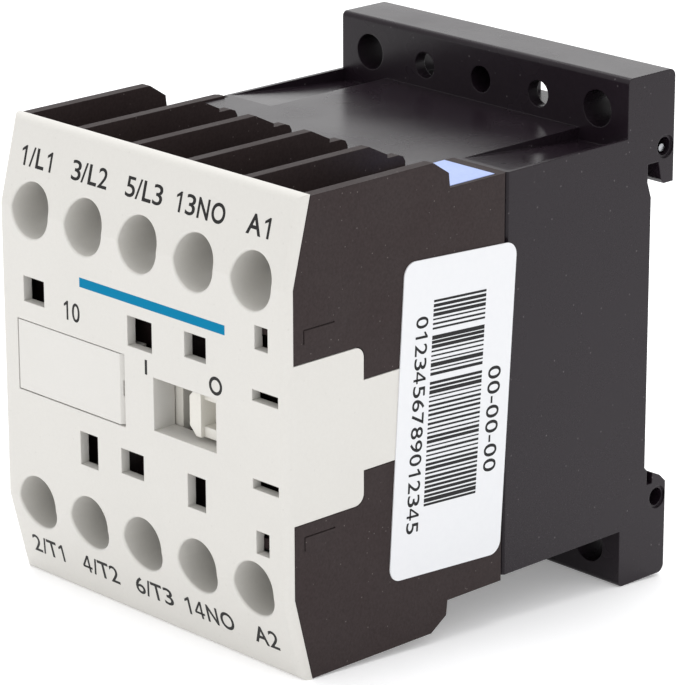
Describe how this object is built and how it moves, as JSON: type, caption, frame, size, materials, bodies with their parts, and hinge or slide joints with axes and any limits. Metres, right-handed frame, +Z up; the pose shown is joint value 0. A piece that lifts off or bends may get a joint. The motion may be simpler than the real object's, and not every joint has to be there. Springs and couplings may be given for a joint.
{
  "type": "mini contactor",
  "caption": "Mini power contactor for rail or screw mounting, with a light front cover, black housings, screw terminals, a coil magnet and a sliding contact comb.",
  "frame": {"origin": "middle of the 35 x 50 mm fixing pattern, on the rear plane that meets the panel", "axes": "+X along the row of terminals, to the right seen from the front; +Y into the panel; +Z up, from the load terminals to the line terminals"},
  "size_m": [0.0451, 0.0578, 0.058],
  "materials": {
    "cover_abs": "satin moulded, fine texture",
    "housing_polyamide": "matte moulded, glass filled",
    "base_polyamide": "satin moulded, glass filled",
    "tag_blue": "satin",
    "label_paper": "coated paper",
    "comb_pbt": "satin moulded",
    "zinc_steel": "zinc plated",
    "spring_steel": "bright wire",
    "terminal_brass": "tinned brass strip",
    "contact_copper": "copper alloy strip",
    "bobbin_nylon": "natural nylon",
    "winding_copper": "enamelled wire",
    "tape_film": "polyester film",
    "silicon_steel": "punched laminations",
    "pad_rubber": "moulded",
    "marking_ink": "pad printed",
    "stripe_ink": "pad printed"
  },
  "bodies": {
    "housing": {"front_cover": "cover_abs", "marker_plate": "cover_abs", "contact_housing": "housing_polyamide", "base_housing": "base_polyamide", "coil_tag": "tag_blue", "side_label": "label_paper", "line_terminal_1": "terminal_brass", "load_terminal_1": "terminal_brass", "line_terminal_2": "terminal_brass", "load_terminal_2": "terminal_brass", "line_terminal_3": "terminal_brass", "load_terminal_3": "terminal_brass", "line_terminal_4": "terminal_brass", "load_terminal_4": "terminal_brass", "coil_terminal_a1": "terminal_brass", "coil_terminal_a2": "terminal_brass", "bobbin": "bobbin_nylon", "coil_winding": "winding_copper", "winding_tape": "tape_film", "fixed_core": "silicon_steel", "shading_rings": "contact_copper", "core_pad": "pad_rubber", "return_springs": "spring_steel"},
    "comb": {"contact_carrier": "comb_pbt", "armature": "silicon_steel", "armature_pin": "zinc_steel", "contact_spring_1": "spring_steel", "contact_spring_2": "spring_steel", "contact_spring_3": "spring_steel", "contact_spring_4": "spring_steel"},
    "bridge_1": {"bridge_1": "contact_copper"},
    "bridge_2": {"bridge_2": "contact_copper"},
    "bridge_3": {"bridge_3": "contact_copper"},
    "bridge_4": {"bridge_4": "contact_copper"},
    "terminal_screw_1": {"terminal_screw_1": "zinc_steel", "clamp_washer_1": "zinc_steel"},
    "terminal_screw_2": {"terminal_screw_2": "zinc_steel", "clamp_washer_2": "zinc_steel"},
    "terminal_screw_3": {"terminal_screw_3": "zinc_steel", "clamp_washer_3": "zinc_steel"},
    "terminal_screw_4": {"terminal_screw_4": "zinc_steel", "clamp_washer_4": "zinc_steel"},
    "terminal_screw_5": {"terminal_screw_5": "zinc_steel", "clamp_washer_5": "zinc_steel"},
    "terminal_screw_6": {"terminal_screw_6": "zinc_steel", "clamp_washer_6": "zinc_steel"},
    "terminal_screw_7": {"terminal_screw_7": "zinc_steel", "clamp_washer_7": "zinc_steel"},
    "terminal_screw_8": {"terminal_screw_8": "zinc_steel", "clamp_washer_8": "zinc_steel"},
    "terminal_screw_9": {"terminal_screw_9": "zinc_steel", "clamp_washer_9": "zinc_steel"},
    "terminal_screw_10": {"terminal_screw_10": "zinc_steel", "clamp_washer_10": "zinc_steel"},
    "rail_spring": {"rail_spring": "spring_steel"}
  },
  "joints": [
    {"name": "comb_slide", "type": "slide", "parent": "housing", "child": "comb", "axis": [-1, 0, 0], "range_m": [0, 0.004], "stiffness_N_per_m": 400, "springref_m": -0.004, "deforming": ["return_springs"]},
    {"name": "bridge_1_slide", "type": "slide", "parent": "housing", "child": "bridge_1", "axis": [-1, 0, 0], "range_m": [0, 0.00262], "deforming": ["contact_spring_1"]},
    {"name": "bridge_2_slide", "type": "slide", "parent": "housing", "child": "bridge_2", "axis": [-1, 0, 0], "range_m": [0, 0.00262], "deforming": ["contact_spring_2"]},
    {"name": "bridge_3_slide", "type": "slide", "parent": "housing", "child": "bridge_3", "axis": [-1, 0, 0], "range_m": [0, 0.00262], "deforming": ["contact_spring_3"]},
    {"name": "bridge_4_slide", "type": "slide", "parent": "housing", "child": "bridge_4", "axis": [-1, 0, 0], "range_m": [0, 0.00262], "deforming": ["contact_spring_4"]},
    {"name": "terminal_screw_1_slide", "type": "slide", "parent": "housing", "child": "terminal_screw_1", "axis": [0, -1, 0], "range_m": [0, 0.002]},
    {"name": "terminal_screw_2_slide", "type": "slide", "parent": "housing", "child": "terminal_screw_2", "axis": [0, -1, 0], "range_m": [0, 0.002]},
    {"name": "terminal_screw_3_slide", "type": "slide", "parent": "housing", "child": "terminal_screw_3", "axis": [0, -1, 0], "range_m": [0, 0.002]},
    {"name": "terminal_screw_4_slide", "type": "slide", "parent": "housing", "child": "terminal_screw_4", "axis": [0, -1, 0], "range_m": [0, 0.002]},
    {"name": "terminal_screw_5_slide", "type": "slide", "parent": "housing", "child": "terminal_screw_5", "axis": [0, -1, 0], "range_m": [0, 0.002]},
    {"name": "terminal_screw_6_slide", "type": "slide", "parent": "housing", "child": "terminal_screw_6", "axis": [0, -1, 0], "range_m": [0, 0.002]},
    {"name": "terminal_screw_7_slide", "type": "slide", "parent": "housing", "child": "terminal_screw_7", "axis": [0, -1, 0], "range_m": [0, 0.002]},
    {"name": "terminal_screw_8_slide", "type": "slide", "parent": "housing", "child": "terminal_screw_8", "axis": [0, -1, 0], "range_m": [0, 0.002]},
    {"name": "terminal_screw_9_slide", "type": "slide", "parent": "housing", "child": "terminal_screw_9", "axis": [0, -1, 0], "range_m": [0, 0.002]},
    {"name": "terminal_screw_10_slide", "type": "slide", "parent": "housing", "child": "terminal_screw_10", "axis": [0, -1, 0], "range_m": [0, 0.002]},
    {"name": "rail_spring_lift", "type": "slide", "parent": "housing", "child": "rail_spring", "axis": [0, 0, 1], "range_m": [0, 0.0005], "stiffness_N_per_m": 4000, "springref_m": -0.0002}
  ],
  "couplings": [
    {"joint": "bridge_1_slide", "follows": "comb_slide", "ratio": 0.65},
    {"joint": "bridge_2_slide", "follows": "comb_slide", "ratio": 0.65},
    {"joint": "bridge_3_slide", "follows": "comb_slide", "ratio": 0.65},
    {"joint": "bridge_4_slide", "follows": "comb_slide", "ratio": 0.65}
  ]
}
